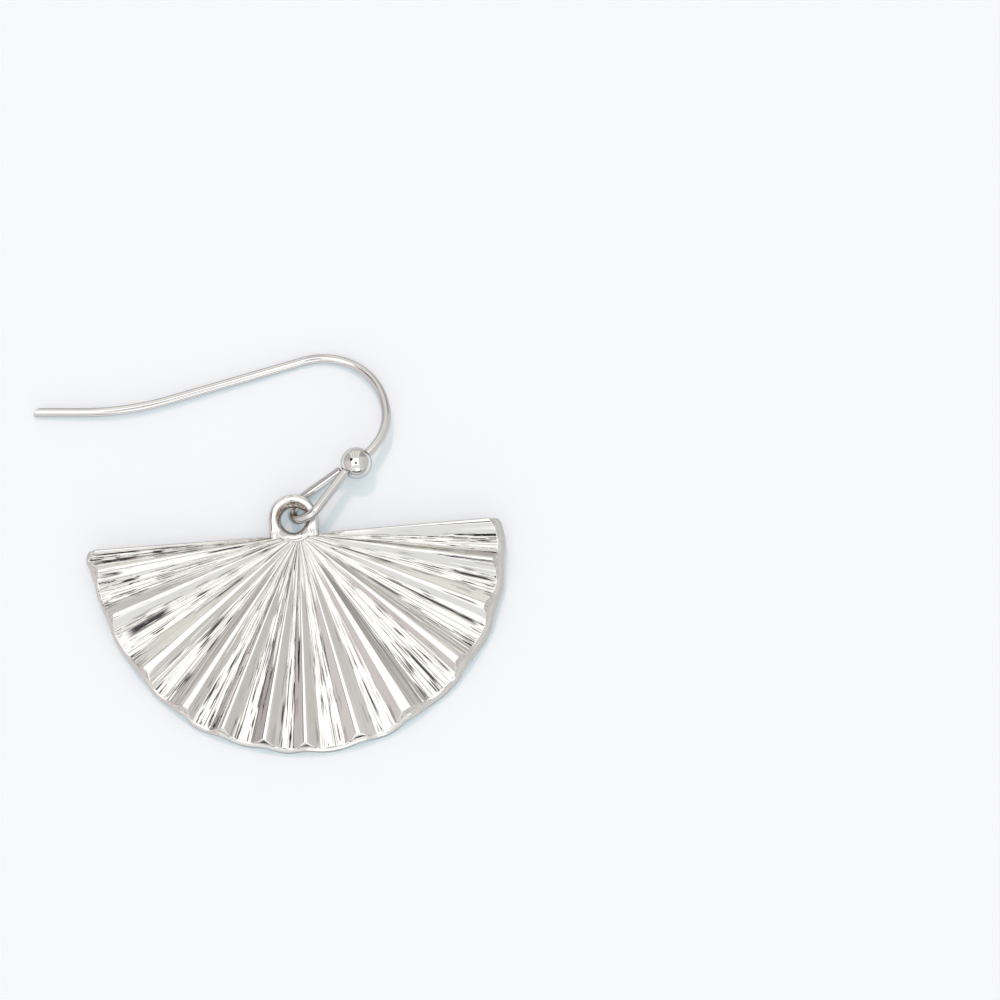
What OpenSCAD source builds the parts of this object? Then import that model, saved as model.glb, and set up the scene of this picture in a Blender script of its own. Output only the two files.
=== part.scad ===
// Fan drop earring, lying on a flat surface: a cast pleated fan with a round eye, held in
// the closed loop of a bent wire ear hook that carries one drilled bead.
// Millimetres, +Z up, the fan's straight edge along X. The origin is under the middle of
// the whole earring's box, on the surface that it lies on.

/* [Fan] */
// Distance from the point where the pleats meet to the longest pleat's end
fan_r = 19.7; // [14:0.1:30]
// Angle that the pleats fill, 180 for a straight upper edge
fan_spread = 180; // [150:1:180]
// Thickness of the casting in the bottom of a fold
fan_t = 0.9; // [0.6:0.05:1.6]
// Height of a ridge over its folds at the rim
fan_relief = 0.65; // [0.3:0.05:1.4]
// Share of the relief that is left where the pleats meet
hub_share = 0.25; // [0.1:0.05:0.6]
// Share of the relief that the hollow back follows
back_share = 0.8; // [0:0.05:0.9]
// How far a ridge is cut back from the fold's end at the rim
ridge_cut = 0.35; // [0.1:0.05:0.8]
// How far the outline draws in at a ridge, which scallops the rim
scallop = 0.18; // [0:0.02:0.5]
// Width of the plain band between the pleats' ends and the rim, where it is narrowest
border_w = 0.3; // [0.2:0.05:0.8]
// Width of the bevels along the rim's lower edge
rim_bevel = 0.15; // [0.05:0.05:0.3]

/* [Eye] */
// Radius of the cast eye's hole at the front
eye_hole_r = 1.5; // [1.2:0.05:2.5]
// Radius of the hole at the back: it narrows like a funnel
eye_back_r = 1.15; // [0.9:0.05:2]
// Depth of the funnel
eye_funnel = 0.7; // [0.2:0.05:1]
// Width of the eye's ring of metal
eye_wall = 0.7; // [0.5:0.05:1.2]
// Thickness of the eye from front to back
eye_t = 1.2; // [0.8:0.05:2]
// Height of the eye's back over the fan's back
eye_base = 0.25; // [0:0.05:0.6]
// Distance of the hole's centre from the fan's straight edge
eye_rise = 1.45; // [1:0.05:3]
// Distance of the hole's centre to the side of the point where the pleats meet
eye_side = -0.42; // [-1:0.02:1]
// Bevel round the ring's edges
eye_bevel = 0.15; // [0.05:0.05:0.3]

/* [Ear wire] */
// Diameter of the wire
wire_d = 0.8; // [0.6:0.05:1]
// Bend radius of the arch beside the bead, at the wire's middle
arch_r = 5.1; // [4.5:0.1:8]
// Angle that the arch turns through
arch_turn = 60; // [45:1:75]
// Bend radius of the shoulder that goes over the top to the leg
shoulder_r = 5.9; // [5:0.1:9]
// Angle that the shoulder turns through
shoulder_turn = 93; // [80:1:105]
// Length of the straight leg
leg_l = 12.5; // [8:0.1:20]
// Bend radius of the kink between the leg and the tail
kink_r = 25; // [12:0.5:40]
// Angle that the kink turns back
kink_turn = 18.5; // [5:0.5:30]
// Length of the straight tail
tail_l = 4.4; // [3:0.1:10]
// Slant of the cut at the wire's tip
tip_slant = 35; // [0:1:45]

/* [Loop] */
// Straight length of the loop's sides, along its middle line
loop_l = 4.2; // [3.5:0.1:8]
// Room between the wire and the corners of the eye's ring
loop_slack = 0.65; // [0.3:0.05:1.2]

/* [Bead] */
// Diameter of the bead
bead_d = 2.8; // [2:0.1:4]

/* [How it lies] */
// Place round the eye where the loop holds it, from the straight edge's direction
hold_at = 40; // [20:1:70]
// Direction of the loop, from the straight edge's direction
loop_turn = 39; // [25:1:55]
// Rise of the loop towards the bead
loop_pitch = 6.5; // [4:0.5:12]
// Roll of the loop about its own length
loop_roll = 131; // [115:1:145]
// Direction of the line on which the hook touches the surface
hook_turn = 6.5; // [-5:0.5:20]

/* [Clearances] */
// Room round the wire in the bead's drilled hole, and between the bead and the loop
bead_clear = 0.06; // [0.03:0.01:0.15]
// Room between the two sides of the loop where it closes
close_gap = 0.12; // [0.06:0.01:0.4]

/* [Hidden] */
fine = 48;
silver = [0.84, 0.83, 0.82];
bright_silver = [0.88, 0.88, 0.87];

// One row for each pleat, clockwise from the right-hand end of the straight edge. The first
// four columns share out the spread: the open fold, the side that rises from it, the
// ridge's top and the side that falls to the next fold. Reach is the rim's distance at the
// fold, as a share of fan_r. Border is the width of the plain band beyond the fold's end,
// as a multiple of border_w.
//  fold   rise  ridge  fall   reach  border
PLEATS = [
    [ 4.3,  1.9,  1.4,   4.2,  0.936,  2.3],
    [ 4.4,  3.5,  1.5,   3.6,  0.955,  2.3],
    [ 7.0,  5.2,  1.8,   2.8,  0.972,  2.0],
    [ 9.6,  5.0,  2.6,   3.8,  0.985,  1.5],
    [ 4.6,  4.2,  1.2,   3.2,  1.000,  1.2],
    [ 6.4,  3.5,  1.1,   2.6,  1.000,  1.0],
    [ 3.5,  3.9,  1.1,   2.5,  0.997,  1.0],
    [ 5.0,  3.1,  1.0,   2.0,  0.991,  1.0],
    [ 6.2,  1.9,  1.8,   4.8,  0.989,  1.0],
    [ 4.0,  4.8,  2.0,   4.6,  0.972,  1.0],
    [ 8.0,  3.7,  1.3,   3.2,  0.956,  1.0],
    [ 6.7,  2.5,  1.4,   2.2,  0.950,  1.0]
];
fold_part = 0;
rise_part = 1;
ridge_part = 2;
fall_part = 3;
reach_share = 4;
border_share = 5;
// Shares of the spread before the first fold and after the last pleat, with their reaches
first_edge = [1.2, 4.8, 0.900, 0.917];
last_edge = [1.4, 1.0, 1.0, 0.972, 0.950];
// Height of the straight edge's two ends as a share of the relief, and their borders
edge_height = 1;
first_borders = [1.7, 2.0];
last_border = 1;
// Share of the scallop that is left at a fold's two sides
fold_draw = 0.35;
// Share of ridge_cut by which a fold's own end is sloped
fold_cut = 0.3;
// Fall of the plain band towards the rim, as a share of its width
band_fall = 0.35;

wire_r = wire_d / 2;
// The wire is a hair thinner where it is bent, and the ball at its sharp bend that much larger
hair = 0.01;
bend_wire_r = wire_r - hair;
// How far a straight run reaches into the bends beside it
lap = 0.03;
// The short straight run between the arch and the shoulder
brow_l = 0.3;
eye_r = eye_hole_r + eye_wall;
eye_middle = eye_base + eye_t / 2;
// How far the eye's legs reach into the fan
eye_root = 0.4;

// Places along a pleat, as shares of its length, at which the surface is worked out
steps = [0.08, 0.3, 0.62];
// Share of the relief that the plain band at the rim keeps in front of a ridge
band_share = 0.45;

// How far round the spread pleat i starts, in the table's units
function pleat_start(i) = i == 0
    ? first_edge[0] + first_edge[1]
    : pleat_start(i - 1) + PLEATS[i - 1][fold_part] + PLEATS[i - 1][rise_part]
        + PLEATS[i - 1][ridge_part] + PLEATS[i - 1][fall_part];

pleats_end = pleat_start(len(PLEATS));
whole_spread = pleats_end + last_edge[0] + last_edge[1] + last_edge[2];

// A spoke of the fan: place round the spread, height as a share of the relief, reach, how
// much of the scallop it takes, and the band at its end as a multiple of border_w
function pleat_spokes(i) =
    let (row = PLEATS[i])
    let (next_reach = i + 1 < len(PLEATS) ? PLEATS[i + 1][reach_share] : last_edge[3])
    let (ridge_reach = (row[reach_share] + next_reach) / 2)
    let (a = pleat_start(i))
    let (b = a + row[fold_part])
    let (c = b + row[rise_part])
    let (d = c + row[ridge_part])
    [
        [a, 0, row[reach_share], fold_draw, row[border_share]],
        [(a + b) / 2, 0, row[reach_share], 0, row[border_share]],
        [b, 0, row[reach_share], fold_draw, row[border_share]],
        [c, 1, ridge_reach, 1, row[border_share]],
        [d, 1, ridge_reach, 1, row[border_share]]
    ];

spokes = [
    [0, edge_height, first_edge[2], 0, first_borders[0]],
    [first_edge[0], edge_height, first_edge[3], 0, first_borders[1]],
    for (i = [0 : len(PLEATS) - 1]) each pleat_spokes(i),
    [pleats_end, 0, last_edge[3], fold_draw, last_border],
    [pleats_end + last_edge[0], 0, last_edge[3], fold_draw, last_border],
    [whole_spread - last_edge[2], edge_height, (last_edge[3] + last_edge[4]) / 2, 0, last_border],
    [whole_spread, edge_height, last_edge[4], 0, last_border]
];

function spoke_angle(spoke) = (180 - fan_spread) / 2 + fan_spread * spoke[0] / whole_spread;
function relief_at(r) = fan_relief * (hub_share + (1 - hub_share) * r / fan_r);
function front_z(spoke, r) = fan_t + spoke[1] * relief_at(r);
function back_z(spoke, r) = back_share * spoke[1] * relief_at(r);
function rim_reach(spoke) = fan_r * spoke[2] - scallop * spoke[3];
function band_z(spoke) = fan_t + band_share * spoke[1] * relief_at(rim_reach(spoke));
function rim_z(spoke) = band_z(spoke) - band_fall * (border_w * spoke[4] - rim_bevel);

// The section along a spoke: out over the front, round the rim and back underneath
function spoke_section(spoke) =
    let (rim = rim_reach(spoke))
    let (band = rim - border_w * spoke[4])
    let (pleat = band - ridge_cut * (fold_cut + (1 - fold_cut) * spoke[1]))
    let (low = back_z(spoke, rim))
    [
        for (s = steps) [s * pleat, front_z(spoke, s * pleat)],
        [pleat, front_z(spoke, pleat)],
        [band, band_z(spoke)],
        [rim - rim_bevel, rim_z(spoke)],
        [rim, rim_z(spoke) - rim_bevel],
        [rim, low + rim_bevel],
        [rim - rim_bevel, low],
        [pleat, back_z(spoke, pleat)],
        for (k = [len(steps) - 1 : -1 : 0])
            [steps[k] * pleat, back_z(spoke, steps[k] * pleat)]
    ];

around = 2 * len(steps) + 7;
last_step = len(steps);
tip_front = len(spokes) * around;
tip_back = tip_front + 1;

fan_points = [
    for (spoke = spokes)
        let (a = spoke_angle(spoke))
            for (q = spoke_section(spoke)) [q[0] * cos(a), -q[0] * sin(a), q[1]],
    [0, 0, fan_t + 0.5 * hub_share * fan_relief],
    [0, 0, 0]
];

// The two triangles between step k of spoke c and the next ones. The crease runs from the
// higher spoke outwards, so that each ridge ends in a small three-cornered bevel.
function patch(c, k) =
    let (a = c * around + k)
    let (b = a + around)
    spokes[c][1] < spokes[c + 1][1]
        ? [[a, a + 1, b], [a + 1, b + 1, b]]
        : [[a, a + 1, b + 1], [a, b + 1, b]];

// The flat end of the plate along one spoke, split so that every piece is convex
function end_wall(c) =
    let (a = c * around)
    let (z = around - 1)
    [
        [tip_front, a, a + z, tip_back],
        for (k = [0 : last_step - 1]) [a + k, a + k + 1, a + z - k - 1, a + z - k],
        for (k = [last_step : last_step + 4]) [a + last_step + 6, a + k, a + k + 1]
    ];

function turned_over(faces) = [for (f = faces) [for (k = [len(f) - 1 : -1 : 0]) f[k]]];

fan_faces = [
    for (c = [0 : len(spokes) - 2])
        each [
            [tip_front, c * around, (c + 1) * around],
            for (k = [0 : around - 2]) each patch(c, k),
            [(c + 1) * around - 1, tip_back, (c + 2) * around - 1]
        ],
    each turned_over(end_wall(0)),
    each end_wall(len(spokes) - 1)
];

// Where the fan's rim touches the surface in front
fan_front = max([
    for (spoke = spokes)
        if (spoke[1] == 0) (rim_reach(spoke) - rim_bevel) * sin(spoke_angle(spoke))
]);

function about_x(v, a) = [v[0], v[1] * cos(a) - v[2] * sin(a), v[1] * sin(a) + v[2] * cos(a)];
function about_y(v, a) = [v[0] * cos(a) + v[2] * sin(a), v[1], v[2] * cos(a) - v[0] * sin(a)];
function about_z(v, a) = [v[0] * cos(a) - v[1] * sin(a), v[0] * sin(a) + v[1] * cos(a), v[2]];

// The loop: a round end about the eye's ring, and two straight sides that close at the bead
loop_r = wire_r + norm([eye_wall / 2, eye_t / 2]) + loop_slack;
neck_side = wire_r + close_gap / 2;
neck_reach = norm([loop_l, neck_side]);
loop_taper = asin(loop_r / neck_reach) - atan2(neck_side, loop_l);
side_l = sqrt(neck_reach * neck_reach - loop_r * loop_r);
function loop_to_world(v) = about_z(about_y(about_x(v, loop_roll), -loop_pitch), loop_turn);
loop_steep = norm([loop_to_world([1, 0, 0])[2], loop_to_world([0, 1, 0])[2]]);

// The wire passes under the eye and touches the surface, which lifts the fan's upper edge
loop_z = wire_r + loop_r * loop_steep;
hold_r = eye_hole_r + eye_wall / 2;
hold_x = eye_side + hold_r * cos(hold_at);
hold_y = fan_front + eye_rise + hold_r * sin(hold_at);
fan_tilt = asin(loop_z / norm([hold_y, eye_middle])) - atan2(eye_middle, hold_y);
loop_at = [hold_x, hold_y * cos(fan_tilt) - eye_middle * sin(fan_tilt) - fan_front, loop_z];
neck_at = loop_at + loop_to_world([loop_l, neck_side, 0]);

// The hook: one flat chain of bends that starts at the loop's neck
bead_lead = 0.1;
stem_l = bead_d + 2 * bead_lead;
arch_mid = [stem_l, arch_r];
arch_end = arch_mid + arch_r * [sin(arch_turn), -cos(arch_turn)];
shoulder_start = arch_end + brow_l * [cos(arch_turn), sin(arch_turn)];
shoulder_mid = shoulder_start + shoulder_r * [-sin(arch_turn), cos(arch_turn)];
leg_dir = arch_turn + shoulder_turn;
shoulder_end = shoulder_mid + shoulder_r * [sin(leg_dir), -cos(leg_dir)];
kink_start = shoulder_end + leg_l * [cos(leg_dir), sin(leg_dir)];
kink_mid = kink_start + kink_r * [sin(leg_dir), -cos(leg_dir)];
tail_dir = leg_dir - kink_turn;
tail_start = kink_mid + kink_r * [-sin(tail_dir), cos(tail_dir)];
wire_tip = tail_start + tail_l * [cos(tail_dir), sin(tail_dir)];
outer_bends = [
    for (t = [0 : arch_turn / 60 : arch_turn]) arch_mid + arch_r * [sin(t), -cos(t)],
    for (t = [arch_turn : shoulder_turn / 60 : leg_dir])
        shoulder_mid + shoulder_r * [sin(t), -cos(t)]
];

// It lies on its tip and on the outside of its bends, and leans up from there to the neck
function half_turn(a) = a > 180 ? a - 360 : a < -180 ? a + 360 : a;
tip_to_neck = atan2(-wire_tip[1], -wire_tip[0]);
touch_line = tip_to_neck + max([
    for (q = outer_bends)
        half_turn(atan2(q[1] - wire_tip[1], q[0] - wire_tip[0]) - tip_to_neck)
]);
touch_away = abs(cos(touch_line) * wire_tip[1] - sin(touch_line) * wire_tip[0]);
hook_lean = asin((neck_at[2] - wire_r) / touch_away);
function hook_to_world(q) =
    neck_at + about_z(about_x(about_z([q[0], q[1], 0], -touch_line), -hook_lean), hook_turn);

// The middle of the whole earring, brought over the origin
world_tip = hook_to_world(wire_tip);
left_x = world_tip[0] - wire_r * sin(tip_slant / 2);
right_x = max([for (spoke = spokes) rim_reach(spoke) * cos(spoke_angle(spoke))]);
front_y = min([
    for (spoke = spokes)
        (fan_front - rim_reach(spoke) * sin(spoke_angle(spoke))) * cos(fan_tilt)
            - (rim_z(spoke) - rim_bevel) * sin(fan_tilt) - fan_front
]);
rear_y = max([for (q = outer_bends) hook_to_world(q)[1]]) + wire_r;
centre = [(left_x + right_x) / 2, (front_y + rear_y) / 2, 0];

module straight(l) {
    translate([-lap, 0, 0])
        rotate([0, 90, 0])
            cylinder(r = wire_r, h = l + 2 * lap, $fn = fine);
    translate([l, 0, 0])
        children();
}

module bent(r, turn) {
    side = turn > 0 ? 1 : -1;
    mirror([0, side > 0 ? 0 : 1, 0])
        translate([0, r, 0])
            rotate([0, 0, -90])
                rotate_extrude(angle = abs(turn), $fn = 4 * fine)
                    translate([r, 0])
                        circle(r = bend_wire_r, $fn = fine);
    translate([r * sin(abs(turn)), side * r * (1 - cos(turn)), 0])
        rotate([0, 0, turn])
            children();
}

module cut_tail() {
    difference() {
        translate([-lap, 0, 0])
            rotate([0, 90, 0])
                cylinder(r = wire_r, h = tail_l + lap, $fn = fine);
        translate([tail_l - wire_r * tan(tip_slant), 0, 0])
            rotate([0, 0, -tip_slant])
                translate([0, -2 * wire_d, -2 * wire_d])
                    cube(4 * wire_d);
    }
}

module on_hook() {
    translate(neck_at - centre)
        rotate([-hook_lean, 0, hook_turn])
            rotate([0, 0, -touch_line])
                children();
}

module in_loop() {
    translate(loop_at - centre)
        rotate([loop_roll, -loop_pitch, loop_turn])
            children();
}

// A flat shape with its four long corners bevelled, for the eye's two legs
module eye_leg_profile() {
    b = eye_bevel;
    polygon([
        [-eye_r + b, 0], [eye_r - b, 0], [eye_r, b], [eye_r, eye_t - b],
        [eye_r - b, eye_t], [-eye_r + b, eye_t], [-eye_r, eye_t - b], [-eye_r, b]
    ]);
}

module eye_body() {
    b = eye_bevel;
    translate([0, 0, eye_base])
        rotate_extrude($fn = 2 * fine)
            polygon([
                [0, 0], [eye_r - b, 0], [eye_r, b], [eye_r, eye_t - b],
                [eye_r - b, eye_t], [0, eye_t]
            ]);
    translate([0, 0, eye_base])
        rotate([90, 0, 0])
            linear_extrude(height = eye_rise + eye_root)
                eye_leg_profile();
}

// The hole: a funnel from the front down to a straight bore, bevelled at the back
module eye_hole() {
    b = eye_bevel;
    flare = (eye_hole_r - eye_back_r) / eye_funnel;
    translate([0, 0, -eye_t])
        cylinder(r = eye_back_r, h = fan_t + fan_relief + 3 * eye_t, $fn = 2 * fine);
    translate([0, 0, eye_base + eye_t - eye_funnel])
        cylinder(
            r1 = eye_back_r, r2 = eye_back_r + 2 * eye_funnel * flare, h = 2 * eye_funnel,
            $fn = 2 * fine
        );
    translate([0, 0, eye_base - b])
        cylinder(r1 = eye_back_r + 2 * b, r2 = eye_back_r, h = 2 * b, $fn = 2 * fine);
}

module fan_drop() {
    color(silver)
        translate([-centre[0], -centre[1] - fan_front, 0])
            rotate([fan_tilt, 0, 0])
                translate([0, fan_front, 0])
                    difference() {
                        union() {
                            polyhedron(points = fan_points, faces = fan_faces, convexity = 10);
                            translate([eye_side, eye_rise, 0])
                                eye_body();
                        }
                        translate([eye_side, eye_rise, 0])
                            eye_hole();
                    }
}

module ear_wire() {
    color(silver)
        union() {
            on_hook()
                straight(stem_l)
                    bent(arch_r, arch_turn)
                        straight(brow_l)
                            bent(shoulder_r, shoulder_turn)
                                straight(leg_l)
                                    bent(kink_r, -kink_turn)
                                        cut_tail();
            on_hook()
                sphere(r = wire_r + hair, $fn = fine);
            in_loop()
                rotate([0, 0, 90 - loop_taper])
                    rotate_extrude(angle = 180 + 2 * loop_taper, $fn = 3 * fine)
                        translate([loop_r, 0])
                            circle(r = bend_wire_r, $fn = fine);
            in_loop()
                rotate([0, 0, -loop_taper])
                    translate([0, loop_r, 0])
                        straight(side_l);
            in_loop()
                rotate([0, 0, loop_taper])
                    translate([0, -loop_r, 0])
                        straight(side_l);
        }
}

module bead() {
    color(bright_silver)
        on_hook()
            translate([bead_d / 2 + bead_lead, 0, 0])
                rotate([0, 90, 0])
                    rotate_extrude($fn = 2 * fine)
                        difference() {
                            circle(d = bead_d, $fn = 2 * fine);
                            translate([wire_r + bead_clear - bead_d, -bead_d])
                                square([bead_d, 2 * bead_d]);
                        }
}

fan_drop();
ear_wire();
bead();
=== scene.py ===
import bpy, bmesh, math
import numpy as np
from mathutils import Matrix, Vector


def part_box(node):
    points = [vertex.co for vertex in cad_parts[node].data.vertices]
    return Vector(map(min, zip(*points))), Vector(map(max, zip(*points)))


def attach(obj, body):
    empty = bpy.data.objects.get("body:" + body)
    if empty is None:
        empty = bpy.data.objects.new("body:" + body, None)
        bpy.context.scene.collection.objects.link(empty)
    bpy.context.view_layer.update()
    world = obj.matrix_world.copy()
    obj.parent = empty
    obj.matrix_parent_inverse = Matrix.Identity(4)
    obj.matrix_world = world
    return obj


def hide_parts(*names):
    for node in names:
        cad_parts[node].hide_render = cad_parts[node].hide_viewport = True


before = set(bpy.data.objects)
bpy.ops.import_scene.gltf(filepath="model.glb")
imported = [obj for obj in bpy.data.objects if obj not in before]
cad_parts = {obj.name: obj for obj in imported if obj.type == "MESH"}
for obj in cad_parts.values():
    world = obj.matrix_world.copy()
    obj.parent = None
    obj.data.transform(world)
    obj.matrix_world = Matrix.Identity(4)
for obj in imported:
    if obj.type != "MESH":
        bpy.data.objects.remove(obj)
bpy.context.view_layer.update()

mm = 0.001
print("frame loaded")

# How the earring lies, in mm: the same sizes as the part's own, with the pleats' meeting point at x = y = 0
lie = {
    "wireR": 0.4, "eyeHoleR": 1.5, "eyeBackR": 1.15, "eyeFunnel": 0.7,
    "eyeWall": 0.7, "eyeT": 1.2, "eyeBase": 0.25,
    "eyeRise": 1.45, "eyeSide": -0.42, "holdAt": 40, "loopTurn": 39, "loopPitch": 6.5,
    "loopRoll": 131, "hookTurn": 6.5, "loopL": 4.2, "loopSlack": 0.65, "closeGap": 0.12,
    "beadD": 2.8, "beadLead": 0.1, "archR": 5.1, "archTurn": 60, "browL": 0.3,
    "shoulderR": 5.9, "shoulderTurn": 93, "legL": 12.5, "kinkR": 25, "kinkTurn": 18.5,
    "tailL": 4.4, "tipSlant": 35, "fanFront": 19.477,
}


def turnX(deg):
    return Matrix.Rotation(math.radians(deg), 3, "X")


def turnY(deg):
    return Matrix.Rotation(math.radians(deg), 3, "Y")


def turnZ(deg):
    return Matrix.Rotation(math.radians(deg), 3, "Z")


# Points along a flat bent wire from the origin along +x. Each run: length, radius, turn to the left
def flatChain(runs, step=0.12):
    here, heading = Vector((0, 0, 0)), 0.0
    points = [here.copy()]
    for length, radius, turn in runs:
        ahead = Vector((math.cos(heading), math.sin(heading), 0))
        count = max(1, round(length / step))
        points += [here + ahead * length * (i + 1) / count for i in range(count)] if length else []
        here = points[-1].copy()
        if turn:
            side = 1 if turn > 0 else -1
            middle = here + side * radius * Vector((-math.sin(heading), math.cos(heading), 0))
            count = max(4, round(math.radians(abs(turn)) * radius / step))
            for i in range(count):
                a = heading + math.radians(turn) * (i + 1) / count
                points.append(middle - side * radius * Vector((-math.sin(a), math.cos(a), 0)))
            heading += math.radians(turn)
            here = points[-1].copy()
    return points


def halfTurn(angle):
    return (angle + math.pi) % (2 * math.pi) - math.pi


# Where the loop, the hook and the fan come to rest, from their own sizes
def findPose(s, arcSteps=60, sideSteps=30):
    eyeMid = s["eyeBase"] + s["eyeT"] / 2
    loopR = s["wireR"] + math.hypot(s["eyeWall"] / 2, s["eyeT"] / 2) + s["loopSlack"]
    neckSide = s["wireR"] + s["closeGap"] / 2
    neckReach = math.hypot(s["loopL"], neckSide)
    taper = math.asin(loopR / neckReach) - math.atan2(neckSide, s["loopL"])
    spin = turnZ(s["loopTurn"]) @ turnY(-s["loopPitch"]) @ turnX(s["loopRoll"])
    steep = math.hypot((spin @ Vector((1, 0, 0))).z, (spin @ Vector((0, 1, 0))).z)
    loopZ = s["wireR"] + loopR * steep
    holdR = s["eyeHoleR"] + s["eyeWall"] / 2
    hold = math.radians(s["holdAt"])
    holdY = s["fanFront"] + s["eyeRise"] + holdR * math.sin(hold)
    tilt = math.asin(loopZ / math.hypot(holdY, eyeMid)) - math.atan2(eyeMid, holdY)
    loopAt = Vector((
        s["eyeSide"] + holdR * math.cos(hold),
        holdY * math.cos(tilt) - eyeMid * math.sin(tilt) - s["fanFront"],
        loopZ,
    ))
    upper = Vector((loopR * math.sin(taper), loopR * math.cos(taper), 0))
    neck = Vector((s["loopL"], neckSide, 0))
    lower = Vector((upper.x, -upper.y, 0))
    lowerEnd = Vector((neck.x, -neck.y, 0))
    arc = [
        Vector((loopR * math.cos(a), loopR * math.sin(a), 0))
        for a in np.linspace(1.5 * math.pi + taper, 0.5 * math.pi - taper, arcSteps)
    ]
    side = [lowerEnd.lerp(lower, i / sideSteps) for i in range(sideSteps)]
    loopPoints = side + arc + [upper.lerp(neck, (i + 1) / sideSteps) for i in range(sideSteps)]
    loopPoints = [loopAt + spin @ p for p in loopPoints]
    neckAt = loopPoints[-1]
    stemL = s["beadD"] + 2 * s["beadLead"]
    runs = [
        (stemL, s["archR"], s["archTurn"]), (s["browL"], s["shoulderR"], s["shoulderTurn"]),
        (s["legL"], s["kinkR"], -s["kinkTurn"]), (s["tailL"], 1, 0),
    ]
    chain = flatChain(runs)
    tip = chain[-1]
    back = math.atan2(-tip.y, -tip.x)
    bends = [p for p in chain if (p - tip).length > s["tailL"] + s["legL"] / 2]
    touch = back + max(halfTurn(math.atan2(p.y - tip.y, p.x - tip.x) - back) for p in bends)
    away = abs(math.cos(touch) * tip.y - math.sin(touch) * tip.x)
    lean = math.asin((neckAt.z - s["wireR"]) / away)
    toWorld = turnZ(s["hookTurn"]) @ turnX(-math.degrees(lean)) @ turnZ(-math.degrees(touch))
    hookPoints = [neckAt + toWorld @ p for p in chain]
    stemDir = toWorld @ Vector((1, 0, 0))
    return {
        "tilt": tilt, "path": loopPoints + hookPoints[1:], "stemDir": stemDir,
        "beadAt": neckAt + stemDir * (s["beadD"] / 2 + s["beadLead"]),
        "tailDir": (hookPoints[-1] - hookPoints[-2]).normalized(),
        "hookUp": toWorld @ Vector((0, 0, 1)),
    }


pose = findPose(lie)
# The frame's origin is under the middle of the box: the bead's own box says how far that is
beadLow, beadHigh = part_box("bead")
beadMid = (Vector(beadLow) + Vector(beadHigh)) / 2 / mm
shift = Vector((beadMid.x - pose["beadAt"].x, beadMid.y - pose["beadAt"].y, 0))
print("pose found, tilt", round(math.degrees(pose["tilt"]), 2), "shift", tuple(round(v, 3) for v in shift))


def toFrame(point):
    return (Vector(point) + shift) * mm


# From the fan's own flat axes, in mm, to the frame, in metres
def layFan(x, y, z):
    reach = y + lie["fanFront"]
    c, s = math.cos(pose["tilt"]), math.sin(pose["tilt"])
    ahead = reach * c - z * s - lie["fanFront"]
    return (x + shift.x) * mm, (ahead + shift.y) * mm, (reach * s + z * c) * mm


def makeObject(name, verts, faces, smoothAngle=None):
    mesh = bpy.data.meshes.new(name)
    mesh.from_pydata([tuple(v) for v in verts], [], faces)
    mesh.validate()
    obj = bpy.data.objects.new(name, mesh)
    bpy.context.scene.collection.objects.link(obj)
    smoothFaces(mesh, smoothAngle)
    return obj


def smoothFaces(mesh, angle=None):
    mesh.polygons.foreach_set("use_smooth", [True] * len(mesh.polygons))
    if angle is not None:
        mesh.set_sharp_from_angle(angle=math.radians(angle))
    mesh.update()


# Runs a geometry node tree on obj and keeps the result as a plain mesh
def bakeNodes(obj, tree, inputs):
    mod = obj.modifiers.new("Shape", "NODES")
    mod.node_group = tree
    for item in tree.interface.items_tree:
        if item.item_type == "SOCKET" and item.in_out == "INPUT" and item.name in inputs:
            mod[item.identifier] = inputs[item.name]
    graph = bpy.context.evaluated_depsgraph_get()
    seen = obj.evaluated_get(graph)
    done = bpy.data.meshes.new_from_object(seen, preserve_all_data_layers=True, depsgraph=graph)
    obj.modifiers.remove(mod)
    obj.data = done
    done.name = obj.name
    return obj


def newTree(name, kind, inputs, outputs):
    tree = bpy.data.node_groups.new(name, kind)
    for title, socketType, default in inputs:
        socket = tree.interface.new_socket(title, in_out="INPUT", socket_type=socketType)
        if default is not None:
            socket.default_value = default
    for title, socketType in outputs:
        tree.interface.new_socket(title, in_out="OUTPUT", socket_type=socketType)
    return tree, tree.nodes.new("NodeGroupInput"), tree.nodes.new("NodeGroupOutput")


# One node, its settings, and its inputs by name or number: a value or another node's output
def addNode(tree, kind, settings=None, **sockets):
    node = tree.nodes.new(kind)
    for key, value in (settings or {}).items():
        setattr(node, key, value)
    for key, value in sockets.items():
        socket = node.inputs[int(key[1:])] if key[1:].isdigit() else node.inputs[key.replace("_", " ")]
        if isinstance(value, bpy.types.NodeSocket):
            tree.links.new(value, socket)
        else:
            socket.default_value = value
    return node


def calc(tree, operation, a, b=0.0, c=0.0):
    sockets = {"i0": a, "i1": b}
    if operation == "MULTIPLY_ADD":
        sockets["i2"] = c
    return addNode(tree, "ShaderNodeMath", {"operation": operation}, **sockets).outputs[0]


def remap(tree, value, fromMin, fromMax, toMin=0.0, toMax=1.0, shape="SMOOTHSTEP"):
    ends = {"i1": fromMin, "i2": fromMax, "i3": toMin, "i4": toMax}
    return addNode(tree, "ShaderNodeMapRange", {"interpolation_type": shape}, i0=value, **ends).outputs[0]


# Materials. Two effects have node groups: the plating's uneven tone and the drawn grain of the folds
toneEdges = (0.35, 0.65)  # the noise values between which the tone turns from dull to bright
grainSeed = 3.7


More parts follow.
